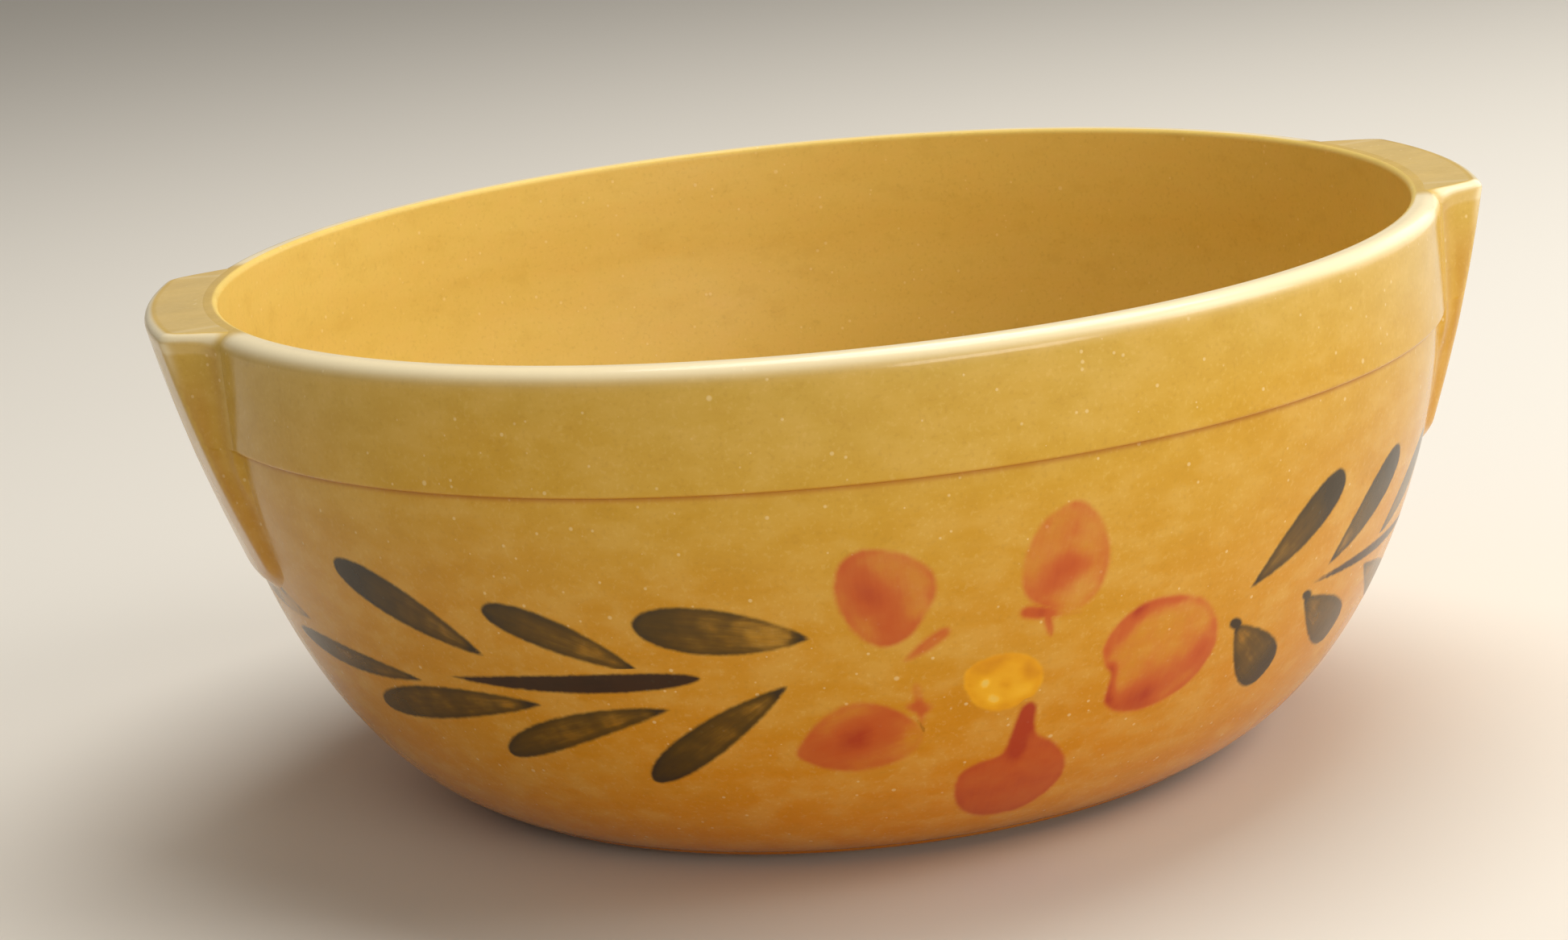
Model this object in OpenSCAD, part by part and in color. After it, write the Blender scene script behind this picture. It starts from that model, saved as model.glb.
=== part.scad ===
// Glazed stoneware mixing bowl with a thick rim collar, two lug handles and a
// brushed flower-and-leaf pattern on each face.
// +Z is up, the origin is the centre of the foot ring's underside, the handles
// lie on the X axis and the faces with the pattern look along -Y and +Y.

/* [Bowl] */
// Height from the table to the crest of the lip
bowl_h = 130; // [90:1:180]
// Outer radius of the wall just under the collar
wall_top_r = 152.4; // [110:0.2:210]
// Radius where the round of the wall would meet the table
wall_foot_r = 84; // [60:1:95]
// How long the wall stays steep as it comes down from the rim
wall_steep = 1.53; // [1.3:0.01:2]
// How full the wall bellies out above the foot
wall_belly = 2.13; // [1.8:0.01:2.6]
// Thickness of the wall at the rim
wall_t = 5.4; // [4:0.1:9]
// Thickness of the floor
floor_t = 8; // [5:0.5:12]

/* [Rim collar] */
// Height of the band from its lower edge to the crest of the lip
collar_h = 28; // [18:0.5:40]
// How far the band stands out over the wall below it
collar_step = 1.6; // [1:0.1:4]
// Height of clay that the lip carries over the top of the wall
lip_h = 4; // [3:0.5:8]
// Rounding of the lip on its outside
lip_out_r = 4; // [2:0.5:4.5]
// Rounding of the lip on its inside
lip_in_r = 1.5; // [1:0.5:3]

/* [Foot] */
// Outer radius of the foot ring
foot_r = 92; // [60:1:96]
// Width of the foot ring
foot_w = 14; // [6:1:24]
// Height of the foot ring
foot_h = 2.5; // [1.5:0.5:6]
// Chamfer on the lower edges of the foot ring
foot_chamfer = 0.8; // [0.3:0.1:1]

/* [Handles] */
// How far a handle stands out from the collar
handle_out = 10.8; // [6:0.2:24]
// Half of a handle's width at its outer corners
handle_half_w = 39; // [20:1:60]
// How far a handle runs down below the collar
handle_drop = 36; // [15:1:45]
// How far a handle's back bows out from a straight line
handle_bow = 1.4; // [0.4:0.1:5]
// Thickness of a handle's blunt lower end
handle_tip = 2; // [0.6:0.1:4]
// Angle at which the side faces spread towards the bowl
handle_flare = 25; // [10:1:35]
// Radius of the hollow fillet between a side face and the collar
handle_fillet = 14; // [6:1:20]
// Rounding of the upright outer corners
handle_corner_r = 3; // [1:0.5:6]
// Rounding of the outer top edge
handle_edge_r = 2.5; // [1:0.5:4]
// Half width of a handle's spread root on the wall
handle_root_half_w = 60; // [45:1:75]
// Radius of the lower corners of the spread root
handle_root_r = 30; // [10:1:40]

/* [Pattern] */
// Thickness of the painted colour
paint_t = 0.3; // [0.2:0.1:0.6]

/* [Hidden] */
$fn = 180;

// Height of the collar's lower edge
step_z = bowl_h - collar_h;
// Outer radius of the collar, and of a handle
collar_r = wall_top_r + collar_step;
handle_r = collar_r + handle_out;
// Radius of the inside of the bowl at the rim
inner_r = wall_top_r - wall_t;
// Height at which the wall ends under the lip
wall_end_z = bowl_h - lip_h;
// Height of the floor's upper face
floor_z = foot_h + floor_t;
// Steps along the wall from the foot to the collar, closer together near the foot
wall_steps = 25;
// The same for the inside of the bowl
inside_steps = 20;
// Wall height and radius that the pattern's strokes are drawn for
pattern_h = 102;
pattern_r = 145;
// Pairs of points along one stroke's outline
stroke_steps = 12;
// The painted colour lies between these steps of the wall
paint_first = 7;
paint_last = 24;
// Reach of the cutting shapes past the bowl
reach = 2 * handle_r;

// Radius of the wall's outside at height z: a superellipse that rises steeply
// at the rim and turns under towards the foot
function wall_r(z) =
    wall_foot_r + (wall_top_r - wall_foot_r)
    * pow(1 - pow(max(0, 1 - z / step_z), wall_steep), 1 / wall_belly);
function wall_point(i) =
    let (z = foot_h + (step_z - foot_h) * pow(i / wall_steps, 2)) [wall_r(z), z];
// Radius of the inside, the same curve between the floor and the collar
function inside_r(z) =
    let (t = min(1, (z - floor_z) / (step_z - floor_z)))
    wall_foot_r + (inner_r - wall_foot_r)
    * pow(1 - pow(1 - t, wall_steep), 1 / wall_belly);
function inside_point(i) =
    let (z = floor_z + (step_z - floor_z) * pow(i / inside_steps, 2)) [inside_r(z), z];
// Points of an arc about c, from angle a to angle b in n steps
function arc(c, r, a, b, n) =
    [for (i = [0:n]) let (t = a + (b - a) * i / n) [c.x + r * cos(t), c.y + r * sin(t)]];
function backwards(p) = [for (i = [len(p) - 1:-1:0]) p[i]];

// Outside of the collar and lip, from its lower edge to the crest
lip_out = concat([[collar_r, step_z]],
    arc([collar_r - lip_out_r, bowl_h - lip_out_r], lip_out_r, 0, 90, 8));

module bowl_body() {
    outside = [for (i = [0:wall_steps]) wall_point(i)];
    inside = [for (i = [inside_steps:-1:0]) inside_point(i)];
    color([0.72, 0.50, 0.13])
    rotate_extrude()
        polygon(concat([[0, foot_h]], outside, [[wall_top_r, wall_end_z]],
                       [[inner_r, wall_end_z]], inside, [[0, floor_z]]));
}

// The band sits round the top of the wall and the lip closes over it
module rim_collar() {
    lip_in = arc([inner_r + lip_in_r, bowl_h - lip_in_r], lip_in_r, 90, 180, 6);
    color([0.76, 0.60, 0.25])
    rotate_extrude()
        polygon(concat([[wall_top_r, step_z]], lip_out, lip_in,
                       [[inner_r, wall_end_z], [wall_top_r, wall_end_z]]));
}

// Turned ring of bare clay under the floor
module foot_ring() {
    c = foot_chamfer;
    color([0.74, 0.60, 0.42])
    rotate_extrude()
        polygon([[foot_r - foot_w + c, 0], [foot_r - c, 0], [foot_r, c],
                 [foot_r, foot_h], [foot_r - foot_w, foot_h], [foot_r - foot_w, c]]);
}

// First step of the wall at which the handle's lower tip lies
tip_step = round(wall_steps * sqrt((step_z - handle_drop - foot_h) / (step_z - foot_h)));

// Section of a handle in (radius, height): its inside follows the wall, the
// collar and the lip, and its back runs from the rounded top edge to the blunt
// lower end in one slight bow
module handle_section() {
    tip = wall_point(tip_step);
    high = [handle_r, bowl_h - handle_edge_r];
    low = tip + handle_tip * [1, 0.6];
    out = [high.y - low.y, low.x - high.x] / norm(high - low);
    inner = concat([for (i = [tip_step:wall_steps]) wall_point(i)], lip_out);
    top = arc([handle_r - handle_edge_r, bowl_h - handle_edge_r], handle_edge_r, 90, 0, 6);
    back = [for (i = [1:8]) let (t = i / 8)
            high + t * (low - high) + 4 * handle_bow * t * (1 - t) * out];
    polygon(concat(inner, top, back));
}

// Half of a handle seen from above, with y from 0 outwards: the outer arc, the
// rounded corner, the flared side face and the hollow fillet onto the collar
function handle_plan_half() =
    let (out_n = [sin(handle_flare), cos(handle_flare)],
         along = [-cos(handle_flare), sin(handle_flare)],
         corner_a = asin((handle_half_w - handle_corner_r) / (handle_r - handle_corner_r)),
         corner = (handle_r - handle_corner_r) * [cos(corner_a), sin(corner_a)],
         start = corner + handle_corner_r * out_n,
         base = start + handle_fillet * out_n,
         b = base * along,
         t = -b - sqrt(b * b - base * base + pow(collar_r + handle_fillet, 2)),
         c = base + t * along,
         to_bowl = atan2(-c.y, -c.x),
         to_face = atan2(-out_n.y, -out_n.x))
    concat(arc([0, 0], handle_r, 0, corner_a, 6),
           arc(corner, handle_corner_r, corner_a, 90 - handle_flare, 4),
           arc(c, handle_fillet, to_face, to_bowl, 8),
           [c * (wall_foot_r / norm(c))]);

module handle() {
    half = handle_plan_half();
    mirrored = [for (p = backwards(half)) [p.x, -p.y]];
    color([0.77, 0.56, 0.18])
    intersection() {
        rotate_extrude() handle_section();
        linear_extrude(bowl_h + 1) polygon(concat(mirrored, half));
        handle_front();
    }
}

// A handle seen from its end: straight sides and rounded lower corners
module handle_front() {
    r = handle_root_r;
    y = handle_root_half_w - r;
    z = wall_point(tip_step).y;
    rotate([90, 0, 90])
    linear_extrude(reach)
        polygon(concat([[-handle_root_half_w, bowl_h + 1]], arc([-y, z + r], r, 180, 270, 10),
                       arc([y, z + r], r, 270, 360, 10), [[handle_root_half_w, bowl_h + 1]]));
}

module left_handle() {
    rotate([0, 0, 180]) handle();
}
module right_handle() {
    handle();
}

// Outline of one brush stroke as [azimuth, height] points. It runs from a to b,
// both given as [degrees from -Y towards +X, height in mm], and is w wide.
// head and tail shape its ends: 0.5 is round, 1 comes to a point. bend bows the
// middle to the left of its way.
function stroke(a, b, w, head = 0.5, tail = 0.9, bend = 0) =
    let (mm = pattern_r * PI / 180,
         p = [a.x * mm, a.y], q = [b.x * mm, b.y],
         along = (q - p) / norm(q - p), side = [-along.y, along.x],
         widest = head / (head + tail),
         peak = pow(widest, head) * pow(1 - widest, tail),
         line = [for (i = [0:stroke_steps]) let (s = (1 - cos(180 * i / stroke_steps)) / 2,
                 h = w / 2 * pow(s, head) * pow(1 - s, tail) / peak)
                 [p + s * (q - p) + 4 * bend * s * (1 - s) * side, h]],
         left = [for (e = line) e[0] + e[1] * side],
         right = [for (i = [stroke_steps - 1:-1:1]) line[i][0] - line[i][1] * side])
    [for (e = concat(left, right)) [e.x / mm, e.y]];

// One dab of colour laid on the wall. It is made of one or more strokes that
// run into each other, and their outlines are carried straight out from the
// axis through the thin skin of colour.
module painted(strokes) {
    azimuths = [for (s = strokes) for (e = s) e.x];
    middle = (min(azimuths) + max(azimuths)) / 2;
    rise = step_z / pattern_h;
    rotate([0, 0, middle])
    intersection() {
        paint_skin();
        rotate([90, 0, 0])
        linear_extrude(reach)
            for (s = strokes)
                polygon([for (e = s) let (z = e.y * rise)
                         [wall_r(z) * sin(e.x - middle), z]]);
    }
}

// Skin of colour on the outside of the wall
module paint_skin() {
    wall = [for (i = [paint_first:paint_last]) wall_point(i)];
    rotate_extrude()
        polygon(concat(wall, [for (p = backwards(wall)) p + [paint_t, 0]]));
}

// The pattern is painted on the front face and again on the back face
module on_both_faces() {
    for (turn = [0, 180])
        rotate([0, 0, turn]) children();
}

// The leaf nearest a handle stops where the handle covers the wall
module clear_of_handles() {
    difference() {
        children();
        left_handle();
        right_handle();
    }
}

leaf_colour = [0.28, 0.21, 0.10];
stem_colour = [0.24, 0.15, 0.10];
petal_colour = [0.76, 0.32, 0.14];

module flower_petals() {
    petals = [
        [stroke([-5.5, 63.5], [-5, 88], 22, 0.5, 0.5)],
        [stroke([10.5, 69], [11.5, 92], 20, 0.5, 0.5)],
        [stroke([16, 43], [28, 56], 26, 0.5, 0.45)],
        [stroke([1.5, 22], [13.5, 24], 21, 0.45, 0.45),
         stroke([8.2, 31], [8.2, 44.5], 6.5, 0.2, 0.4)],
        [stroke([-13.7, 38], [-2.5, 44], 17, 0.5, 0.5)]];
    color(petal_colour)
    on_both_faces()
        for (p = petals)
            painted(p);
}

module flower_centres() {
    color([0.90, 0.60, 0.12])
    on_both_faces()
        painted([stroke([2, 51.5], [9.3, 50.5], 16, 0.5, 0.5)]);
}

module left_spray_leaves() {
    leaves = [
        stroke([-58, 81], [-42, 63], 10, 0.45, 0.8, 1),
        stroke([-40.5, 75], [-26.5, 60.5], 8.5, 0.45, 0.8, 1),
        stroke([-26.3, 72.5], [-11.3, 67.5], 11.5, 0.5, 0.8, 0),
        stroke([-60.5, 43.5], [-37.5, 51], 9, 0.45, 0.8, 1),
        stroke([-44.3, 36], [-24.7, 51], 8, 0.45, 0.8, 1.5),
        stroke([-28.8, 31], [-13.7, 56], 9, 0.5, 0.8, 0),
        stroke([-73, 56.5], [-51.5, 53.5], 5, 0.5, 0.8, -0.5)];
    color(leaf_colour)
    on_both_faces() {
        for (s = leaves)
            painted([s]);
        clear_of_handles()
            painted([stroke([-84, 69], [-68, 62], 8, 0.45, 0.8, 0)]);
    }
}

module left_spray_stems() {
    color(stem_colour)
    on_both_faces()
        painted([stroke([-47, 56], [-21.2, 59], 5, 0.9, 0.5, -0.5)]);
}

module right_spray_leaves() {
    leaves = [
        stroke([42.5, 80], [31, 60], 10.5, 0.4, 0.9, 0),
        stroke([54.5, 78], [43, 57.5], 11, 0.4, 0.9, 0),
        stroke([67, 74], [54.5, 56.5], 10.5, 0.4, 0.9, 0),
        stroke([38, 34], [30, 51.5], 12.5, 0.4, 0.9, 1),
        stroke([51, 36.5], [40, 51.5], 11.5, 0.4, 0.9, 1),
        stroke([67, 37.5], [52.5, 51], 9, 0.4, 0.9, 1)];
    color(leaf_colour)
    on_both_faces() {
        for (s = leaves)
            painted([s]);
        clear_of_handles()
            painted([stroke([79, 69], [68, 57], 9, 0.4, 0.9, 0)]);
    }
}

module right_spray_stems() {
    color(stem_colour)
    on_both_faces()
        painted([stroke([67, 54], [41, 54.5], 3, 0.5, 0.7)]);
}

bowl_body();
rim_collar();
foot_ring();
left_handle();
right_handle();
flower_petals();
flower_centres();
left_spray_leaves();
left_spray_stems();
right_spray_leaves();
right_spray_stems();
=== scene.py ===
from math import pi, radians

import bpy
import numpy as np
from mathutils import Matrix, Vector


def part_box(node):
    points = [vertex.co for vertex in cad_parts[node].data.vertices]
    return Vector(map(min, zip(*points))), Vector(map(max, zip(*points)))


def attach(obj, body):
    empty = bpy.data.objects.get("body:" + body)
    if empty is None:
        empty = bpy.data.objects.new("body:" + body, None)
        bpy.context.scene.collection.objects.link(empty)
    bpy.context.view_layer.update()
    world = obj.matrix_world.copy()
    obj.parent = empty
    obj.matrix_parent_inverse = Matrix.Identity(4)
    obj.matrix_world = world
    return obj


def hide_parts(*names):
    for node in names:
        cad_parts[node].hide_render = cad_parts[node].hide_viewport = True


# A glazed stoneware mixing bowl. The clay pieces are turned or carried along
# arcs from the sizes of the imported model, and the pattern is brushed on the
# wall as thin skins of colour. Lengths are in metres, azimuths in degrees
# from the front (-Y) towards +X.

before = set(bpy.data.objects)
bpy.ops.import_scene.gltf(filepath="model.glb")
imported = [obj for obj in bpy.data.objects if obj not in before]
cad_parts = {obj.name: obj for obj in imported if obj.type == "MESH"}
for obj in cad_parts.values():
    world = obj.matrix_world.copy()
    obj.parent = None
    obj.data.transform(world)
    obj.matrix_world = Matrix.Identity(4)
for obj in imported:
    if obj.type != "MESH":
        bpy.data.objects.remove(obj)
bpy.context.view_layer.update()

MM = 0.001

_, body_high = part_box("bowl_body")
collar_low, collar_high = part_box("rim_collar")
handle_low, handle_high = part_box("right_handle")
_, ring_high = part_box("foot_ring")

BOWL_H = collar_high.z
STEP_Z = collar_low.z
COLLAR_R = collar_high.x
WALL_TOP_R = body_high.x
WALL_END_Z = body_high.z
HANDLE_R = handle_high.x
TIP_Z = handle_low.z
RING_R = ring_high.x
RING_H = ring_high.z

WALL_FOOT_R = 84 * MM
WALL_STEEP = 1.53
WALL_BELLY = 2.13
INNER_R = WALL_TOP_R - 5.4 * MM
FLOOR_Z = RING_H + 8 * MM
RING_W = 14 * MM
LIP_OUT_R = 4 * MM
LIP_IN_R = 1.5 * MM
HANDLE_HALF_W = 39 * MM
HANDLE_FLARE = radians(25)
HANDLE_CORNER_R = 3 * MM
HANDLE_EDGE_R = 2.4 * MM
HANDLE_BOW = 1.4 * MM
HANDLE_TIP = 2 * MM
ROOT_HALF_W = 60 * MM
ROOT_R = 30 * MM
HEEL_R = 2.4 * MM
SOFT_EDGE_R = 0.9 * MM

# Half the arc of a handle's patch in degrees, the height from which its face
# makes room for the rounded edge, the radii at which its flat top starts and
# comes up out of the lip, and the radius at which its buried side starts.
HANDLE_REACH = 24.5
SHOULDER_Z = 112 * MM
TOP_START_R = 149.2 * MM
TOP_SUNK_R = 149.4 * MM
TOP_FREE_R = 150.8 * MM
BURIED_R = 148.5 * MM

# The pale band on the lip, partly the glaze's pale break and partly a painted highlight: how far its
# middle line lies behind the collar's face and under the rim, and its width.
PALE_BAND_BEHIND = 2.2 * MM
PALE_BAND_UNDER = 1.2 * MM
PALE_BAND_W = 2.6 * MM

# The pattern is drawn in mm round a wall of PATTERN_R and mm up it, and the
# height it is drawn on is carried to the step. The brushed skins' margin,
# spacing, lift and dip are in mm as well.
PATTERN_R = 145 * MM
PATTERN_H = 102 * MM
MM_PER_DEGREE = PATTERN_R / MM * pi / 180
PATCH_MARGIN = 2.8
PATCH_STEP = 0.66
SKIN_LIFT = 0.03
UPPER_LIFT = 0.045
SKIN_DIP = 0.03
SKIN_DEPTH = 0.6 * MM


# ---------------------------------------------------------------- camera

def add_camera():
    """The camera stands in front of the bowl and a little to its left, tilted
    clockwise about its own axis."""
    data = bpy.data.cameras.new("camera")
    data.lens = 83.43
    data.sensor_width = 36
    data.clip_start = 0.01
    camera = bpy.data.objects.new("camera", data)
    bpy.context.scene.collection.objects.link(camera)
    place = Vector((-0.1244, -0.8825, 0.2852))
    aim = Vector((-0.0119, 0.0039, 0.0691))
    turn = (aim - place).to_track_quat("-Z", "Y").to_matrix().to_4x4()
    roll = Matrix.Rotation(radians(-5.43), 4, "Z")
    camera.matrix_world = Matrix.Translation(place) @ turn @ roll
    bpy.context.scene.camera = camera


add_camera()


# ---------------------------------------------------------------- shapes

def smooth(x, low, high):
    """0 below low, 1 above high, and 3t^2 - 2t^3 of the way between them."""
    t = np.clip((x - low) / (high - low), 0, 1)
    return t * t * (3 - 2 * t)


def soft_max(a, b, k):
    """The larger of a and b; where they differ by less than k the corner
    between them is filled by (k - |a - b|)^2 / 4k."""
    h = np.maximum(k - np.abs(a - b), 0)
    return np.maximum(a, b) + h * h / (4 * k)


def soft_min(a, b, k):
    """The smaller of a and b, with the corner rounded off as in soft_max."""
    return -soft_max(-a, -b, k)


def wall_r(z):
    """Outer radius of the wall at height z: foot radius plus the spread times
    (1 - fall^steep)^(1/belly), where fall goes from 1 at z = 0 to 0 at the step."""
    fall = np.clip(1 - z / STEP_Z, 0, 1)
    return WALL_FOOT_R + (WALL_TOP_R - WALL_FOOT_R) * (1 - fall ** WALL_STEEP) ** (1 / WALL_BELLY)


def inside_r(z):
    """Inner radius at height z: the wall's own curve between floor and step."""
    fall = np.clip(1 - (z - FLOOR_Z) / (STEP_Z - FLOOR_Z), 0, 1)
    return WALL_FOOT_R + (INNER_R - WALL_FOOT_R) * (1 - fall ** WALL_STEEP) ** (1 / WALL_BELLY)


def arc(r, z, radius, start, end, steps):
    """Points of a circle arc about (r, z), from angle start to end in degrees."""
    t = np.radians(np.linspace(start, end, steps + 1))
    return np.stack([r + radius * np.cos(t), z + radius * np.sin(t)], axis=1)


def line(start, end, steps):
    """Evenly spaced points from start towards end, without the end point."""
    t = np.linspace(0, 1, steps, endpoint=False)[:, None]
    return np.asarray(start) * (1 - t) + np.asarray(end) * t


def make_piece(name, points, faces, values, replaces, uv=None):
    """A smooth-shaded mesh object from points and faces, with one float
    attribute per entry of values and, if given, a UV map along the stroke."""
    mesh = bpy.data.meshes.new(name)
    mesh.from_pydata(points.tolist(), [], faces)
    for key, value in values.items():
        layer = mesh.attributes.new(key, "FLOAT", "POINT")
        layer.data.foreach_set("value", np.asarray(value, np.float32).ravel())
    if uv is not None:
        corner = np.zeros(len(mesh.loops), np.int32)
        mesh.loops.foreach_get("vertex_index", corner)
        layer = mesh.uv_layers.new(name="stroke")
        layer.data.foreach_set("uv", uv[corner].astype(np.float32).ravel())
    mesh.shade_smooth()
    mesh.set_sharp_from_angle(angle=radians(40))
    mesh.validate()
    piece = bpy.data.objects.new(name, mesh)
    bpy.context.scene.collection.objects.link(piece)
    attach(piece, "root")
    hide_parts(*replaces)
    return piece


def revolve(profile, columns=360):
    """Points and faces of a profile of (radius, height) turned about Z. Point
    (i, j) is profile point i at angle 360 j / columns. A profile that starts
    and ends on the axis is closed there by one point, any other by its own
    first row."""
    turn = np.linspace(0, 2 * pi, columns, endpoint=False)
    r = profile[:, :1]
    z = np.broadcast_to(profile[:, 1:], (len(profile), columns))
    points = np.stack([r * np.cos(turn), r * np.sin(turn), z], axis=2)
    index = np.arange(len(profile) * columns).reshape(len(profile), columns)
    on_axis = profile[0, 0] == 0
    if on_axis:
        points = np.concatenate([points[0, :1], points[1:-1].reshape(-1, 3), points[-1, :1]])
        index = index - (columns - 1)
        low, high = 0, len(points) - 1
        ring = index[1]
        around = np.roll(ring, -1)
        caps = [np.stack([np.full(columns, low), around, ring], axis=1)]
        ring = index[-2]
        around = np.roll(ring, -1)
        caps.append(np.stack([ring, around, np.full(columns, high)], axis=1))
        index = index[1:-1]
    else:
        points = points.reshape(-1, 3)
        caps = []
        index = np.concatenate([index, index[:1]])
    a = index[:-1]
    b = index[1:]
    quads = np.stack([a, np.roll(a, -1, axis=1), np.roll(b, -1, axis=1), b], axis=2)
    faces = quads.reshape(-1, 4).tolist()
    for cap in caps:
        faces += cap.tolist()
    return points, faces


def closed_patch(outer, inner):
    """Points and faces of a grid of outer points, the same grid of inner
    points turned the other way, and the strip that joins their borders."""
    n, m = outer.shape[:2]
    points = np.concatenate([outer.reshape(-1, 3), inner.reshape(-1, 3)])
    index = np.arange(n * m).reshape(n, m)
    quads = np.stack([index[:-1, :-1], index[:-1, 1:], index[1:, 1:], index[1:, :-1]], axis=2)
    quads = quads.reshape(-1, 4)
    border = np.concatenate([index[0, :-1], index[:-1, -1], index[-1, :0:-1], index[:0:-1, 0]])
    after = np.roll(border, -1)
    strip = np.stack([after, border, border + n * m, after + n * m], axis=1)
    faces = quads.tolist() + (quads[:, ::-1] + n * m).tolist() + strip.tolist()
    return points, faces


def by_handle(y):
    """1 on the part of the rim that a handle covers, 0 away from it."""
    return 1 - smooth(np.abs(y), 43 * MM, 52 * MM)


def lip_break_and_highlight(off_lip, y, z):
    """1 on the pale band of the lip, partly the glaze's pale break and partly a painted highlight:
    exp(-(d / width)^2) at the distance d from the band's middle, and 0 along the handles."""
    away = np.hypot(off_lip, z - (BOWL_H - PALE_BAND_UNDER))
    return np.exp(-(away / PALE_BAND_W) ** 2) * (1 - by_handle(y))


def step_pool_and_shade(z):
    """1 in the line just under the collar's edge, where glaze stands thick and shade under the collar
    is painted, 0 away from it.
    """
    return np.exp(-((z - STEP_Z + 0.25 * MM) / (0.7 * MM)) ** 2)


def glaze_values(points):
    """How the glaze lies at each point of the turned pieces: pale on the lip, where it has run off and
    where a highlight is painted, brown just under the collar's edge, where it stands thick and where
    shade is painted, and "inside" from the top of the lip inwards."""
    r = np.hypot(points[:, 0], points[:, 1])
    z = points[:, 2]
    outside = smooth(r, INNER_R + 0.8 * MM, INNER_R + 1.6 * MM)
    off_lip = r - np.clip(r, INNER_R + 1.6 * MM, COLLAR_R - PALE_BAND_BEHIND)
    # Pale band on the lip: the glaze's pale break and a painted highlight.
    thin = lip_break_and_highlight(off_lip, points[:, 1], z)
    # Darker line under the collar's edge: pooled glaze and painted shade.
    pool_and_shade = step_pool_and_shade(z) * smooth(r, WALL_TOP_R - 1.5 * MM, WALL_TOP_R - 0.5 * MM)
    return {"thin": thin * outside, "pool_and_shade": pool_and_shade * outside, "inside": 1 - outside}


# ---------------------------------------------------------------- clay pieces

def make_body():
    """The wall and floor in one profile: underside, rounded heel, outside up
    under the collar, the wall's end, and the inside down to the floor."""
    heel = wall_r(RING_H + 1.2 * MM)
    under = line((30 * MM, RING_H), (heel - HEEL_R, RING_H), 24)
    rounding = arc(heel - HEEL_R, RING_H + HEEL_R, HEEL_R, -90, -28, 6)
    low = rounding[-1, 1] + 0.6 * MM
    rise = low + (STEP_Z - low) * np.linspace(0, 1, 84) ** 1.35
    outside = np.stack([wall_r(rise), rise], axis=1)
    hidden = line((WALL_TOP_R, STEP_Z + 1 * MM), (WALL_TOP_R, WALL_END_Z), 12)
    top = line((WALL_TOP_R, WALL_END_Z), (INNER_R, WALL_END_Z), 4)
    straight = line((INNER_R, WALL_END_Z), (INNER_R, STEP_Z), 14)
    fall = FLOOR_Z + (STEP_Z - FLOOR_Z) * np.linspace(1, 0, 72) ** 1.6
    inside = np.stack([inside_r(fall), fall], axis=1)
    floor = line((WALL_FOOT_R, FLOOR_Z), (0, FLOOR_Z), 20)[1:]
    profile = np.concatenate([[[0, RING_H]], under, rounding, outside, hidden, top, straight,
                              inside, floor, [[0, FLOOR_Z]]])
    points, faces = revolve(profile)
    values = glaze_values(points)
    r = np.hypot(points[:, 0], points[:, 1])
    inner = (r < inside_r(points[:, 2]) + MM) & (points[:, 2] > FLOOR_Z - 0.5 * MM)
    values["inside"] = np.where(inner, 1.0, 0.0)
    # Painted shade: the wall turns brown towards the heel, where it meets the floor.
    heel_shade = 0.85 * (1 - smooth(points[:, 2], 3.2 * MM, 6 * MM))
    values["pool_and_shade"] = np.where(inner, 0, np.maximum(values["pool_and_shade"], heel_shade))
    return make_piece("bowl_wall", points, faces, values, ["bowl_body"])


def make_collar():
    """The band round the rim: a softened lower edge, an upright face, the
    rounded lip, and the short inside down to the wall's end."""
    edge = arc(COLLAR_R - SOFT_EDGE_R, STEP_Z + SOFT_EDGE_R, SOFT_EDGE_R, -90, 0, 6)
    face = line((COLLAR_R, STEP_Z + 1.4 * MM), (COLLAR_R, BOWL_H - LIP_OUT_R), 24)
    lip = arc(COLLAR_R - LIP_OUT_R, BOWL_H - LIP_OUT_R, LIP_OUT_R, 0, 90, 12)
    flat = line((COLLAR_R - LIP_OUT_R, BOWL_H), (INNER_R + LIP_IN_R, BOWL_H), 4)[1:]
    turn_in = arc(INNER_R + LIP_IN_R, BOWL_H - LIP_IN_R, LIP_IN_R, 90, 180, 8)
    inside = line((INNER_R, BOWL_H - LIP_IN_R - 0.5 * MM), (INNER_R, WALL_END_Z), 3)
    under = line((INNER_R, WALL_END_Z), (WALL_TOP_R, WALL_END_Z), 4)
    back = line((WALL_TOP_R, WALL_END_Z), (WALL_TOP_R, STEP_Z), 12)
    profile = np.concatenate([[[WALL_TOP_R, STEP_Z]], edge, face, lip, flat, turn_in, inside,
                              under, back])
    points, faces = revolve(profile)
    return make_piece("rim_band", points, faces, glaze_values(points), ["rim_collar"])


def make_ring():
    """The turned foot ring: a rectangle with its lower corners rounded."""
    inner_r = RING_R - RING_W
    outer = arc(RING_R - SOFT_EDGE_R, SOFT_EDGE_R, SOFT_EDGE_R, -90, 0, 5)
    inner = arc(inner_r + SOFT_EDGE_R, SOFT_EDGE_R, SOFT_EDGE_R, 180, 270, 5)
    top = line((RING_R, RING_H), (inner_r, RING_H), 8)
    bed = line(inner[-1], outer[0], 6)[1:]
    profile = np.concatenate([outer, top, [[inner_r, RING_H]], inner, bed])
    points, faces = revolve(profile)
    return make_piece("turned_ring", points, faces, {}, ["foot_ring"])


def handle_ground(z):
    """Radius of what a handle grows out of: the wall below the step and the
    collar above it, joined over 0.8 mm."""
    t = smooth(z, STEP_Z, STEP_Z + 0.8 * MM)
    return wall_r(z) * (1 - t) + COLLAR_R * t


def handle_back(z):
    """Radius of a handle's back at height z: a line from the top edge to the
    blunt tip, bowed outwards by 4 bow t (1 - t), that closes on the wall
    below the tip."""
    top = BOWL_H - HANDLE_EDGE_R
    low = TIP_Z + 0.6 * HANDLE_TIP
    tip_r = wall_r(TIP_Z) + HANDLE_TIP
    t = np.clip((top - z) / (top - low), 0, 1)
    close = 1.7 * np.clip(low - z, 0, 4 * MM)
    return HANDLE_R + t * (tip_r - HANDLE_R) + 4 * HANDLE_BOW * t * (1 - t) - close


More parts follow.
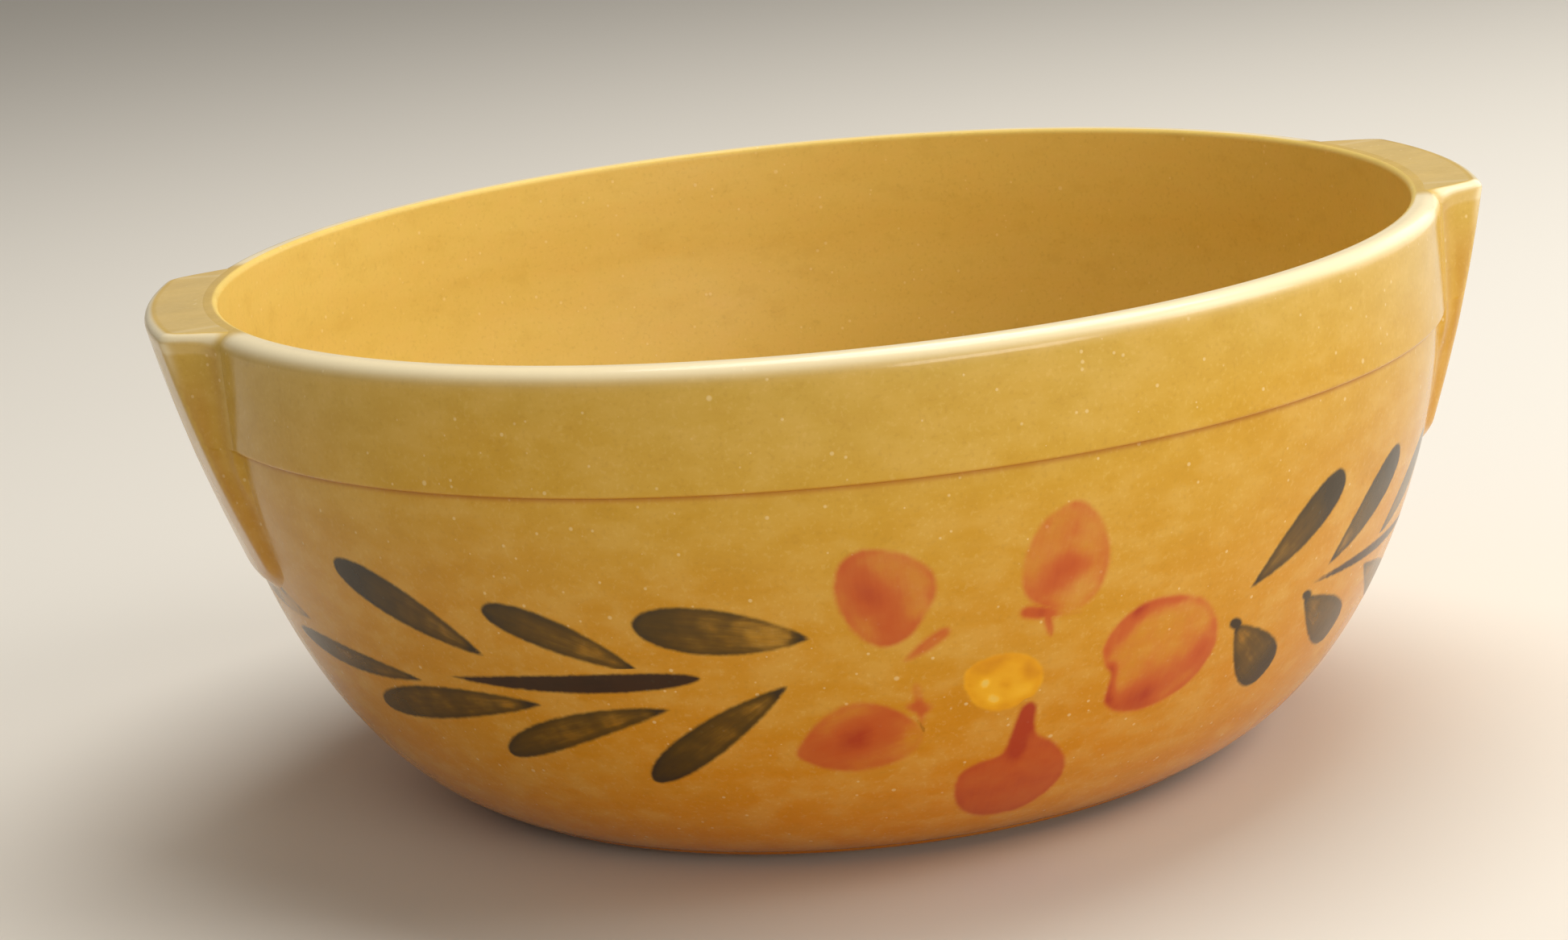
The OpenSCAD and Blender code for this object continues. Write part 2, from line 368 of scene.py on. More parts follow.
def handle_flank(phi):
    """Radius at which the flat side face stands at angle phi from the
    handle's middle: the face's distance from the axis over the cosine of the
    angle between phi and its normal."""
    lean = np.sin(HANDLE_FLARE), np.cos(HANDLE_FLARE)
    corner = np.arcsin((HANDLE_HALF_W - HANDLE_CORNER_R) / (HANDLE_R - HANDLE_CORNER_R))
    middle = (HANDLE_R - HANDLE_CORNER_R) * np.array([np.cos(corner), np.sin(corner)])
    reach = middle[0] * lean[0] + middle[1] * lean[1] + HANDLE_CORNER_R
    return reach / np.cos(np.abs(phi) - (pi / 2 - HANDLE_FLARE))


def root_inset(y, z):
    """How far a point of the end view lies inside the handle's outline, which
    has straight sides and rounded lower corners."""
    dy = np.abs(y) - (ROOT_HALF_W - ROOT_R)
    dz = TIP_Z + ROOT_R - z
    out = np.hypot(np.maximum(dy, 0), np.maximum(dz, 0))
    return ROOT_R - out - np.minimum(np.maximum(dy, dz), 0)


def handle_face(phi, z):
    """Radius of a handle's outside at angle phi and height z, and how far its
    own surface stands over the ground: the lesser of back, flank and root
    outline, run into the ground by a hollow fillet. Beside the handle the step
    under the collar is filled, so that its edge runs out at the fillet."""
    ground = handle_ground(z)
    back = handle_back(z)
    flank = handle_flank(phi)
    own = soft_min(back, flank, 3 * MM)
    own = soft_min(own, ground + 1.4 * root_inset(ground * np.sin(phi), z), 2.4 * MM)
    over = own - ground
    fill = smooth(z, 88 * MM, 101 * MM) * smooth(over, -4 * MM, -1.5 * MM)
    ground = ground + (COLLAR_R - ground) * fill
    hollow = (3 + 2 * smooth(z, 75 * MM, 95 * MM)) * MM
    ridge = np.exp(-((over - 4.6 * MM) / (1.4 * MM)) ** 2) * smooth(back - flank, 0, 2 * MM)
    return soft_max(ground - 0.15 * MM, own, hollow) + 0.2 * MM * ridge, over


def handle_glaze(r, phi, z, over, edge_turn):
    """How the glaze lies on a handle. Its first columns are the flat top and the rounded edge, where
    edge_turn says how much the glaze runs off. It is pale there, on the upright corners and on the lip,
    partly from the glaze's pale break and partly as a painted highlight. It is brown in the hollow
    fillet, where glaze pools, low on the flanks, as painted shade, and under the step, where glaze
    pools and shade is painted."""
    top_count = edge_turn.shape[1]
    edge_turn = np.concatenate([edge_turn, 0 * z[:, top_count:]], axis=1)
    edge_turn[:, top_count:top_count + 3] = 0.25
    corner = handle_back(z) - handle_flank(phi)
    proud = smooth(over, 1 * MM, 4 * MM)
    high = smooth(z, SHOULDER_Z, 127 * MM)
    # The upright corners are paler: glaze break and a painted highlight.
    upright = np.exp(-(corner / (1.8 * MM)) ** 2) * proud * high
    upright[:, :top_count] *= 0.3
    lip = lip_break_and_highlight(r - (COLLAR_R - PALE_BAND_BEHIND), r * np.sin(phi), z)
    # Pale on the edge, the upright corners and the lip: glaze break and painted highlight.
    thin = edge_turn * smooth(over, -3 * MM, 1 * MM) + 0.5 * upright + lip
    valley = np.exp(-((over + 0.4 * MM) / (2.6 * MM)) ** 2) * (corner > 0)
    valley[:, :top_count] *= 0.15
    pool_and_shade = 0.32 * valley * smooth(over, -3.4 * MM, -1 * MM)
    # Painted shade: darker low on the lug flanks.
    pool_and_shade = pool_and_shade + 0.38 * proud * (corner > 0) * (1 - high)
    pool_and_shade[:, :top_count] *= 0.3
    # Under the collar's edge: pooled glaze and painted shade.
    pool_and_shade = pool_and_shade + step_pool_and_shade(z) * (1 - smooth(over, -4 * MM, -2 * MM))
    return {"thin": np.clip(thin, 0, 1), "pool_and_shade": np.clip(pool_and_shade, 0, 1), "inside": 0 * thin}


def make_handle(name, turn, node):
    """A lug handle as a closed patch. Rows go round the bowl by the angle phi,
    columns go out over the flat top, round the edge and down the face. The
    edge's radius falls from the lip's to the handle's own as it leaves the
    collar, and a border strip is sunk in the clay."""
    phi = np.radians(np.linspace(-HANDLE_REACH, HANDLE_REACH, 197))[:, None]
    levels = np.concatenate([np.linspace(BOWL_H - HANDLE_EDGE_R, STEP_Z + 2 * MM, 26),
                             np.linspace(STEP_Z + 1.9 * MM, STEP_Z - 0.5 * MM, 22),
                             np.linspace(STEP_Z - 1.2 * MM, TIP_Z - 4 * MM, 50)])[None, :]
    top_over = handle_face(phi, BOWL_H - 6 * MM)[1]
    away = smooth(top_over, -4 * MM, 5 * MM)
    edge = LIP_OUT_R + (HANDLE_EDGE_R - LIP_OUT_R) * away
    free = smooth(top_over, -3 * MM, 1 * MM)
    crest = BOWL_H - 0.15 * MM * (1 - free)
    lift = np.clip((levels - SHOULDER_Z) / (levels[0, 0] - SHOULDER_Z), 0, 1)
    z_face = levels - (edge - HANDLE_EDGE_R + BOWL_H - crest) * lift
    held = BOWL_H - 5 * MM
    r_face, over = handle_face(phi, np.minimum(z_face, held))
    r_face = r_face + (handle_back(z_face) - handle_back(held)) * (z_face > held) * away
    rim = r_face[:, :1]
    bend = np.radians(np.linspace(90, 0, 9))[None, :-1]
    r_arc = rim - edge + edge * np.cos(bend)
    z_arc = crest - edge + edge * np.sin(bend)
    t = np.linspace(0, 1, 15)[None, :-1]
    r_top = TOP_START_R + (rim - edge - TOP_START_R) * t
    z_top = crest - 0.1 * MM * (1 - smooth(r_top, TOP_SUNK_R, TOP_FREE_R))
    r = np.concatenate([r_top, r_arc, r_face], axis=1)
    z = np.concatenate([z_top, z_arc, z_face], axis=1)
    top_count = r_top.shape[1] + r_arc.shape[1]
    s = np.linspace(0, 1, top_count)[None, :]
    r_in = np.concatenate([BURIED_R + 2.5 * MM * s + 0 * phi,
                           handle_ground(z_face - 2 * MM) - 2.2 * MM], axis=1)
    z_in = np.concatenate([BOWL_H - 2 * MM - (HANDLE_EDGE_R + 1 * MM) * s + 0 * phi,
                           z_face - 2 * MM], axis=1)
    way = phi + turn
    outer = np.stack([r * np.cos(way), r * np.sin(way), z], axis=2)
    inner = np.stack([r_in * np.cos(way), r_in * np.sin(way), z_in], axis=2)
    points, faces = closed_patch(outer, inner)
    edge_turn = np.concatenate([0 * r_top + 0.22, np.sin(2 * bend) + 0 * phi], axis=1)
    standing = np.concatenate([np.repeat(top_over, top_count, axis=1), over], axis=1)
    values = handle_glaze(r, phi, z, standing, edge_turn)
    values = {key: np.concatenate([v.ravel(), v.ravel()]) for key, v in values.items()}
    return make_piece(name, points, faces, values, [node])


# ---------------------------------------------------------------- brushwork

def wall_point(place):
    """A place on the wall, (azimuth, height in mm), in mm round and mm up."""
    return np.array([place[0] * MM_PER_DEGREE, place[1]])


def stroke(a, b, width, head=0.5, tail=0.9, bend=0.0):
    """Outline of a brush stroke from a to b, both (azimuth, height in mm). Its
    half width at s is w/2 s^head (1-s)^tail over that product's peak, and its
    middle line bows by 4 bend s (1-s)."""
    p = wall_point(a)
    q = wall_point(b)
    along = (q - p) / np.linalg.norm(q - p)
    side = np.array([-along[1], along[0]])
    s = (1 - np.cos(np.linspace(0, pi, 33)))[:, None] / 2
    widest = head / (head + tail)
    peak = widest ** head * (1 - widest) ** tail
    half = width / 2 * s ** head * (1 - s) ** tail / peak
    middle = p + s * (q - p) + 4 * bend * s * (1 - s) * side
    outline = np.concatenate([middle + half * side, (middle - half * side)[-2:0:-1]])
    return {"outline": outline, "from": p, "to": q}


def blob(*knots):
    """A closed outline through the knots, given as (azimuth, height in mm), by
    the Catmull-Rom curve with eight steps to a side."""
    b = np.array(knots, float)[:, None] * [MM_PER_DEGREE, 1]
    a = np.roll(b, 1, axis=0)
    c = np.roll(b, -1, axis=0)
    d = np.roll(b, -2, axis=0)
    t = np.linspace(0, 1, 8, endpoint=False)[None, :, None]
    curve = (2 * b + (c - a) * t + (2 * a - 5 * b + 4 * c - d) * t ** 2
             + (3 * b - a - 3 * c + d) * t ** 3)
    return {"outline": curve.reshape(-1, 2) / 2, "from": b[0, 0], "to": b[len(b) // 2, 0]}


def inset(u, v, outline):
    """Signed distance in mm from each point (u, v) to the outline, positive
    inside: the least distance to a side, and inside by the crossings of a
    ray towards +u."""
    a = outline
    b = np.roll(outline, -1, axis=0)
    side = b - a
    pu = u[..., None] - a[:, 0]
    pv = v[..., None] - a[:, 1]
    t = np.clip((pu * side[:, 0] + pv * side[:, 1]) / (side ** 2).sum(1).clip(1e-9), 0, 1)
    away = np.hypot(pu - t * side[:, 0], pv - t * side[:, 1]).min(-1)
    spans = (a[:, 1] > v[..., None]) != (b[:, 1] > v[..., None])
    rise = np.where(side[:, 1] == 0, 1e-9, side[:, 1])
    left = pu < pv * side[:, 0] / rise
    return np.where((spans & left).sum(-1) % 2 == 1, away, -away)


def touch(u, v, a, b, width):
    """A soft dab of colour: exp(-(d/width)^2), where d is the distance in mm to
    the line from a to b, both given as (azimuth, height in mm)."""
    p = wall_point(a)
    q = wall_point(b)
    way = q - p
    t = np.clip(((u - p[0]) * way[0] + (v - p[1]) * way[1]) / max(way @ way, 1e-9), 0, 1)
    d = np.hypot(u - p[0] - t * way[0], v - p[1] - t * way[1])
    return np.exp(-(d / width) ** 2)


def brushed_patch(strokes, load, turn, lift):
    """One dab of colour as a closed patch on the wall. Rows go up and columns
    go round. The skin stands proud by the lift inside the outline and dips
    under the wall's surface at its border."""
    outline = np.concatenate([s["outline"] for s in strokes])
    low = outline.min(0) - PATCH_MARGIN
    high = outline.max(0) + PATCH_MARGIN
    u = np.linspace(low[0], high[0], int((high[0] - low[0]) / PATCH_STEP))
    v = np.linspace(low[1], high[1], int((high[1] - low[1]) / PATCH_STEP))
    u, v = np.meshgrid(u, v)
    edge = np.max([inset(u, v, s["outline"]) for s in strokes], axis=0)
    first = strokes[0]
    way = first["to"] - first["from"]
    length = np.linalg.norm(way)
    way = way / length
    along = (u - first["from"][0]) * way[0] + (v - first["from"][1]) * way[1]
    across = (v - first["from"][1]) * way[0] - (u - first["from"][0]) * way[1]
    z = v * MM * STEP_Z / PATTERN_H
    angle = np.radians(u / MM_PER_DEGREE - 90) + turn
    proud = smooth(edge, 0.2 - PATCH_MARGIN, -0.8)
    r = wall_r(z) - SKIN_DIP * MM + (SKIN_DIP + lift) * MM * proud
    outer = np.stack([r * np.cos(angle), r * np.sin(angle), z], axis=2)
    r_in = wall_r(z) - SKIN_DEPTH
    inner = np.stack([r_in * np.cos(angle), r_in * np.sin(angle), z], axis=2)
    points, faces = closed_patch(outer, inner)
    amount = load(u, v, along / length, edge)
    uv = np.stack([along, across], axis=2) * MM
    return points, faces, edge, amount, uv


def make_brushwork(name, dabs, node, lift):
    """All dabs of one colour joined in one object, on the front face and again
    on the back face. Colour laid over another has the greater lift."""
    points, faces, edges, loads, uvs = [], [], [], [], []
    count = 0
    for turn in (0, pi):
        for strokes, load in dabs:
            p, f, edge, amount, uv = brushed_patch(strokes, load, turn, lift)
            points.append(p)
            faces += [[i + count for i in face] for face in f]
            count += len(p)
            edges += [edge.ravel(), edge.ravel()]
            loads += [amount.ravel(), amount.ravel()]
            uvs += [uv.reshape(-1, 2), uv.reshape(-1, 2)]
    points = np.concatenate(points)
    values = glaze_values(points)
    values["inside"] = np.zeros(len(points))
    values["edge"] = np.concatenate(edges)
    values["load"] = np.concatenate(loads)
    return make_piece(name, points, faces, values, [node], np.concatenate(uvs))


def leaf_load(head=0.5, middle=0.55, tail=0.35, rim=0.2, last=0.6):
    """Colour of a leaf along its stroke: a full head, a middle, a tail that
    fades and a dark last touch of the brush, with a darker rim all round."""
    def load(u, v, s, edge):
        body = middle + (tail - middle) * smooth(s, 0.35, 0.85)
        first = head * np.exp(-(np.maximum(s - 0.05, 0) / 0.2) ** 2)
        end = last * smooth(s, 0.88, 0.97)
        outline = rim * np.exp(-((edge - 0.5) / 0.8) ** 2)
        return np.clip(body + first + end + outline, 0, 1.2)
    return load


def flat_load(amount):
    """A stroke laid down evenly."""
    return lambda u, v, s, edge: amount + 0 * u


def petal_load(base, touches, rim=0.08):
    """A petal's thin wash plus its denser touches and a faint darker rim."""
    def load(u, v, s, edge):
        total = base + rim * np.exp(-((edge - 0.9) / 1.1) ** 2)
        for a, b, width, amount in touches:
            total = total + amount * touch(u, v, a, b, width)
        return np.clip(total, 0, 1.2)
    return load


PETALS = [
    ([blob((-6.1, 87.4), (-8.2, 84.5), (-8.9, 78), (-8.2, 71), (-6.8, 65.8), (-5, 63.7), (-3, 65.3),
           (-1.5, 70), (-0.4, 75.5), (-0.8, 80.8), (-2.8, 85.2))],
     petal_load(0.36, [((-7.4, 83.5), (-6.6, 77), 4.6, 0.24), ((-5.6, 76), (-4.2, 67.5), 4.6, 0.3),
                      ((-2.6, 78), (-1.4, 73), 2.4, -0.06)])),
    ([stroke((0.6, 66.4), (-3.4, 59.8), 3.2, 0.4, 0.7)], petal_load(0.38, [])),
    ([blob((11.7, 91.7), (9, 89), (7.4, 83), (6.8, 76.5), (7.3, 71), (9.2, 67.6), (11.8, 65.7),
           (13.8, 69), (14.8, 75.5), (14.6, 82), (13.6, 88)),
      stroke((6.7, 67.8), (12.4, 65), 3.4, 0.35, 1.1), stroke((9.1, 67), (9.7, 60.4), 2.2, 0.5, 0.6)],
     petal_load(0.32, [((9, 73.4), (11.6, 76.4), 3.4, 0.34), ((10.6, 78), (11.4, 87), 3.2, 0.12),
                       ((11.4, 67), (13, 69), 3, -0.1), ((7.2, 67.4), (8.6, 67), 1.7, 0.36),
                       ((9.4, 66), (9.7, 61), 1.6, 0.16)])),
    ([blob((20.1, 64.5), (16.9, 62), (15, 56.5), (15.1, 51), (16.1, 47), (15.9, 40.4), (17.8, 36.6),
           (20.8, 35.5), (24, 37), (26.6, 41), (28, 48), (27.2, 55.5), (24.8, 61.8))],
     petal_load(0.22, [((17, 38.6), (20.5, 39.8), 3.4, 0.38), ((20.5, 40.4), (25.8, 46), 5.6, 0.36),
                       ((26, 46), (27, 52), 2.8, 0.16), ((15.5, 54), (18.2, 62), 2.4, 0.34),
                       ((18.2, 62.4), (22.6, 63.6), 2.4, 0.3), ((16, 49), (16.4, 41), 1.8, 0.45)],
                rim=0.16)),
    ([blob((8.2, 44.6), (7.3, 43), (6.7, 37.5), (5.9, 31.6), (3.8, 30.2), (1.9, 27.6), (1.4, 22.6),
           (2.2, 16.8), (4.4, 13), (7.4, 12), (10, 12.8), (12.3, 16.8), (13.4, 22), (12.9, 27.4),
           (11.3, 32.2), (9.5, 35.2), (8.9, 39), (8.9, 43.2))],
     petal_load(0.66, [((7.4, 31.5), (8.2, 43), 2.6, 0.4), ((3.4, 20), (9, 17), 5, 0.06)])),
    ([blob((-13.9, 37.8), (-13, 41.8), (-11.6, 46), (-9.5, 49.6), (-7.2, 50.4), (-5, 48.6),
           (-3.2, 45.4), (-1.8, 40.6), (-2.8, 35.6), (-5, 33), (-8.1, 31.7), (-11.1, 33),
           (-13, 35.4))],
     petal_load(0.34, [((-11.4, 37.6), (-8, 39.6), 5.2, 0.3), ((-8.4, 40.6), (-5.6, 43), 5, 0.3),
                       ((-2.2, 41), (-3, 36), 3.4, -0.16)])),
    ([stroke((-2.5, 54), (-1.9, 41.4), 2.8, 0.6, 0.9),
      stroke((-3.5, 48.2), (-0.9, 46.8), 3.6, 0.6, 0.6)],
     petal_load(0.26, [((-2.3, 48), (-2, 46.6), 1.7, 0.32)])),
]

CENTRES = [
    ([blob((1.9, 54.6), (3.3, 57.4), (5.7, 58.3), (8, 56.2), (9.2, 51.8), (8.9, 47.4), (7.6, 44.8),
           (5.2, 43.6), (3.2, 45.6), (2, 49.9))],
     petal_load(0.6, [((3.75, 51.5), (3.75, 51.4), 1.0, -0.7), ((4.4, 47), (4.8, 46.6), 1.1, -0.4),
                      ((6.8, 47.5), (7.8, 48.5), 1.8, -0.2), ((3.2, 54.6), (5, 55.6), 1.8, 0.2),
                      ((7.6, 54), (8, 51), 1.6, 0.22), ((5.4, 50.5), (5.8, 50), 1.2, 0.22)],
                rim=0.14)),
]

LEFT_LEAVES = [
    ([stroke((-58, 81), (-42, 63), 10, 0.45, 0.8, 1)], leaf_load(0.5, 0.66, 0.42)),
    ([stroke((-40.5, 75), (-26.5, 60.5), 8.5, 0.45, 0.8, 1)], leaf_load(0.3, 0.5, 0.3)),
    ([stroke((-26.3, 72.5), (-11.3, 67.5), 11.5, 0.5, 0.8, 0)], leaf_load(0.2, 0.46, 0.22)),
    ([stroke((-60.5, 43.5), (-37.5, 51), 9, 0.45, 0.8, 1)], leaf_load(0.1, 0.46, 0.38)),
    ([stroke((-44.3, 36), (-24.7, 51), 8, 0.45, 0.8, 1.5)], leaf_load(0.25, 0.44, 0.36)),
    ([stroke((-28.8, 31), (-13.7, 56), 9, 0.5, 0.8, 0)], leaf_load(0.35, 0.5, 0.4, last=0.75)),
    ([stroke((-73, 56.5), (-51.5, 53.5), 6.4, 0.5, 0.8, -0.5)], leaf_load(0.2, 0.5, 0.4)),
    ([stroke((-84, 69), (-68, 62), 8, 0.45, 0.8, 0)], leaf_load(0.06, 0.24, 0.18, 0.1, 0.15)),
]

LEFT_STEMS = [([stroke((-47, 56), (-21.2, 59), 5, 0.9, 0.5, -0.5)], flat_load(0.85))]

RIGHT_LEAVES = [
    ([stroke((42.5, 80), (31, 60), 10.5, 0.4, 0.9, 0)], leaf_load(0.5, 0.66, 0.38)),
    ([stroke((54.5, 78), (43, 57.5), 11, 0.4, 0.9, 0)], leaf_load(0.5, 0.74, 0.38)),
    ([stroke((67, 74), (54.5, 56.5), 10.5, 0.4, 0.9, 0)], leaf_load(0.45, 0.66, 0.4)),
    ([stroke((38, 34), (30, 51.5), 12.5, 0.4, 0.9, 1),
      stroke((30.9, 50.6), (29.2, 52.8), 2.8, 0.5, 0.5)],
     leaf_load(0.5, 0.56, 0.4, last=0.7)),
    ([stroke((51, 36.5), (40, 51.5), 11.5, 0.4, 0.9, 1),
      stroke((41.4, 50.6), (39.6, 52.6), 2.6, 0.5, 0.5)],
     leaf_load(0.3, 0.52, 0.36, last=0.7)),
    ([stroke((67, 37.5), (52.5, 51), 9, 0.4, 0.9, 1)], leaf_load(0.2, 0.45, 0.3)),
    ([stroke((79, 69), (68, 57), 9, 0.4, 0.9, 0)], leaf_load(0.3, 0.5, 0.4)),
]

RIGHT_STEMS = [([stroke((67, 54), (41, 54.5), 3, 0.5, 0.7)], flat_load(0.8))]


# ---------------------------------------------------------------- finishes

def colour(r, g, b):
    """A display colour of 0 to 255 as the linear colour that a shader takes."""
    c = np.array([r, g, b]) / 255
    c = np.where(c <= 0.04045, c / 12.92, ((c + 0.055) / 1.055) ** 2.4)
    return (*c.tolist(), 1.0)


def new_group(name, inputs, outputs):
    """A shader node group with typed, named inputs and outputs."""
    group = bpy.data.node_groups.new(name, "ShaderNodeTree")
    for label, kind in inputs:
        group.interface.new_socket(name=label, in_out="INPUT", socket_type=kind)
    for label, kind in outputs:
        group.interface.new_socket(name=label, in_out="OUTPUT", socket_type=kind)
    return group, group.nodes.new("NodeGroupInput"), group.nodes.new("NodeGroupOutput")


def noise(tree, vector, scale, detail=2.0, rough=0.5):
    """Smooth noise of the position: scale is cells per metre."""
    node = tree.nodes.new("ShaderNodeTexNoise")
    node.inputs["Scale"].default_value = scale
    node.inputs["Detail"].default_value = detail
    node.inputs["Roughness"].default_value = rough
    tree.links.new(vector, node.inputs["Vector"])
    return node.outputs["Fac"]


def stretch(tree, vector, scale, place=(0, 0, 0)):
    """The position scaled along each axis and moved."""
    node = tree.nodes.new("ShaderNodeMapping")
    node.inputs["Scale"].default_value = scale
    node.inputs["Location"].default_value = place
    tree.links.new(vector, node.inputs["Vector"])
    return node.outputs["Vector"]


def ranged(tree, value, low, high, to_low=0.0, to_high=1.0):
    """The value carried from low..high to to_low..to_high, smooth at both ends."""
    node = tree.nodes.new("ShaderNodeMapRange")
    node.interpolation_type = "SMOOTHSTEP"
    node.inputs["From Min"].default_value = low
    node.inputs["From Max"].default_value = high
    node.inputs["To Min"].default_value = to_low
    node.inputs["To Max"].default_value = to_high
    tree.links.new(value, node.inputs["Value"])
    return node.outputs["Result"]


def ranged_linear(tree, value, low, high):
    """The value carried from low..high to 0..1 and held there."""
    node = tree.nodes.new("ShaderNodeMapRange")
    node.inputs["From Min"].default_value = low
    node.inputs["From Max"].default_value = high
    tree.links.new(value, node.inputs["Value"])
    return node.outputs["Result"]


def maths(tree, operation, a, b, clamp=False):
    """One sum of two values, either of which may be a socket or a number."""
    node = tree.nodes.new("ShaderNodeMath")
    node.operation = operation
    node.use_clamp = clamp
    for socket, value in zip(node.inputs, (a, b)):
        if isinstance(value, (int, float)):
            socket.default_value = value
        else:
            tree.links.new(value, socket)
    return node.outputs["Value"]


def mix_socket(node, label):
    """The colour socket of a Mix node: its value and vector sockets share the name."""
    return [s for s in node.inputs if s.name == label and s.type == "RGBA"][0]


def laid_over(tree, amount, a, b, kind="MIX"):
    """Colour a with colour b laid over it by the amount."""
    node = tree.nodes.new("ShaderNodeMix")
    node.data_type = "RGBA"
    node.blend_type = kind
    if isinstance(amount, (int, float)):
        node.inputs[0].default_value = amount
    else:
        tree.links.new(amount, node.inputs[0])
    for label, value in (("A", a), ("B", b)):
        socket = mix_socket(node, label)
        if isinstance(value, tuple):
            socket.default_value = value
        else:
            tree.links.new(value, socket)
    return [s for s in node.outputs if s.type == "RGBA"][0]


def ramp(tree, value, stops):
    """A colour for each value, from (place, colour) stops."""
    node = tree.nodes.new("ShaderNodeValToRGB")
    bar = node.color_ramp
    bar.elements[0].position, bar.elements[0].color = stops[0]
    bar.elements[1].position, bar.elements[1].color = stops[-1]
    for place, shade in stops[1:-1]:
        bar.elements.new(place).color = shade
    tree.links.new(value, node.inputs["Fac"])
    return node.outputs["Color"]


def flecks(tree, vector, scale, size, chance):
    """Round specks: the cells of a point pattern, each a spot of its own size,
    kept only where the cell's own number is under chance."""
    cells = tree.nodes.new("ShaderNodeTexVoronoi")
    cells.inputs["Scale"].default_value = scale
    tree.links.new(vector, cells.inputs["Vector"])
    parts = tree.nodes.new("ShaderNodeSeparateColor")
    tree.links.new(cells.outputs["Color"], parts.inputs["Color"])
    spread = maths(tree, "MULTIPLY", parts.outputs["Green"], size)
    near = maths(tree, "DIVIDE", cells.outputs["Distance"], maths(tree, "ADD", spread, size * 0.4))
    spot = ranged(tree, near, 0.5, 1.0, 1.0, 0.0)
    kept = maths(tree, "LESS_THAN", parts.outputs["Red"], chance)
    return maths(tree, "MULTIPLY", spot, kept)


def make_glaze_group():
    """The amber glaze's colour: a vertical change from olive yellow at the rim to orange brown at the
    foot, cloudy mottling, a fine dark grain, pale flecks, a pale band where the glaze breaks thin and a
    highlight is painted, and brown where the glaze pools and shade is painted."""
    group, give, take = new_group(
        "amber_glaze_colour",
        [("Position", "NodeSocketVector"), ("Thin", "NodeSocketFloat"),
         ("Pool", "NodeSocketFloat"), ("Inside", "NodeSocketFloat")],
        [("Colour", "NodeSocketColor"), ("Fleck", "NodeSocketFloat")])
    where = give.outputs["Position"]
    split = group.nodes.new("ShaderNodeSeparateXYZ")
    group.links.new(where, split.inputs["Vector"])
    height = split.outputs["Z"]
    cloud = noise(group, stretch(group, where, (1, 1, 1.6)), 100, 4.0, 0.55)
    drift = noise(group, stretch(group, where, (1, 1, 2.2), (3, 1, 2)), 12, 2.0)
    band = noise(group, stretch(group, where, (0.15, 0.15, 1.0)), 260, 2.0)
    wander = maths(group, "MULTIPLY", maths(group, "SUBTRACT", drift, 0.5), 0.05)
    level = maths(group, "ADD", height, wander)
    rise = ranged_linear(group, level, 0.0, BOWL_H)
    outside = ramp(group, rise, [(0.0, colour(214, 132, 4)), (0.3, colour(208, 136, 10)),
                                 (0.55, colour(206, 146, 26)), (0.78, colour(208, 160, 46)),
                                 (1.0, colour(208, 170, 74))])
    inside = ramp(group, rise, [(0.0, colour(212, 170, 64)), (0.5, colour(226, 192, 94)),
                                (1.0, colour(226, 195, 102))])
    base = laid_over(group, give.outputs["Inside"], outside, inside)
    grain = noise(group, where, 900, 2.0)
    mottling = [(cloud, 0.4, 0.7, 0.24, colour(230, 190, 104)),
                (cloud, 0.5, 0.26, 0.12, colour(176, 122, 4)),
                (band, 0.35, 0.7, 0.12, colour(222, 178, 84)),
                (grain, 0.56, 0.72, 0.09, colour(140, 92, 14)),
                (grain, 0.44, 0.28, 0.14, colour(238, 204, 128))]
    for pattern, low, high, most, shade in mottling:
        base = laid_over(group, ranged(group, pattern, low, high, 0.0, most), base, shade)
    small = flecks(group, stretch(group, where, (1, 1, 1), (5, 3, 7)), 420, 0.18, 0.2)
    fleck = maths(group, "MAXIMUM", flecks(group, where, 170, 0.1, 0.3), small)
    base = laid_over(group, maths(group, "MULTIPLY", fleck, 0.45), base, colour(246, 220, 160))
    # Brown for pooled glaze and painted shade, and near-white for the glaze's pale break and a painted
    # highlight.
    for label, most, shade in (("Pool", 0.75, colour(166, 90, 6)),
                               ("Thin", 0.88, colour(252, 236, 196))):
        amount = ranged(group, give.outputs[label], 0.0, 1.0, 0.0, most)
        base = laid_over(group, amount, base, shade)
    group.links.new(base, take.inputs["Colour"])
    group.links.new(fleck, take.inputs["Fleck"])
    return group


def make_surface_group():
    """The fired glaze's surface: slow throwing undulations with a faint
    orange-peel, and gloss that changes a little over it and is less inside."""
    group, give, take = new_group(
        "fired_surface",
        [("Position", "NodeSocketVector"), ("Fleck", "NodeSocketFloat"), ("Inside", "NodeSocketFloat")],
        [("Height", "NodeSocketFloat"), ("Roughness", "NodeSocketFloat")])
    where = give.outputs["Position"]
    slow = noise(group, stretch(group, where, (0.35, 0.35, 1.0)), 70, 1.0)
    peel = noise(group, where, 420, 2.0)
    height = maths(group, "ADD", slow, maths(group, "MULTIPLY", peel, 0.07))
    height = maths(group, "ADD", height, maths(group, "MULTIPLY", give.outputs["Fleck"], 0.06))
    gloss = noise(group, where, 60, 3.0)
    group.links.new(height, take.inputs["Height"])
    dull = maths(group, "MULTIPLY", give.outputs["Inside"], 0.24)
    gloss = maths(group, "ADD", ranged(group, gloss, 0.3, 0.7, 0.13, 0.22), dull)
    group.links.new(gloss, take.inputs["Roughness"])
    return group


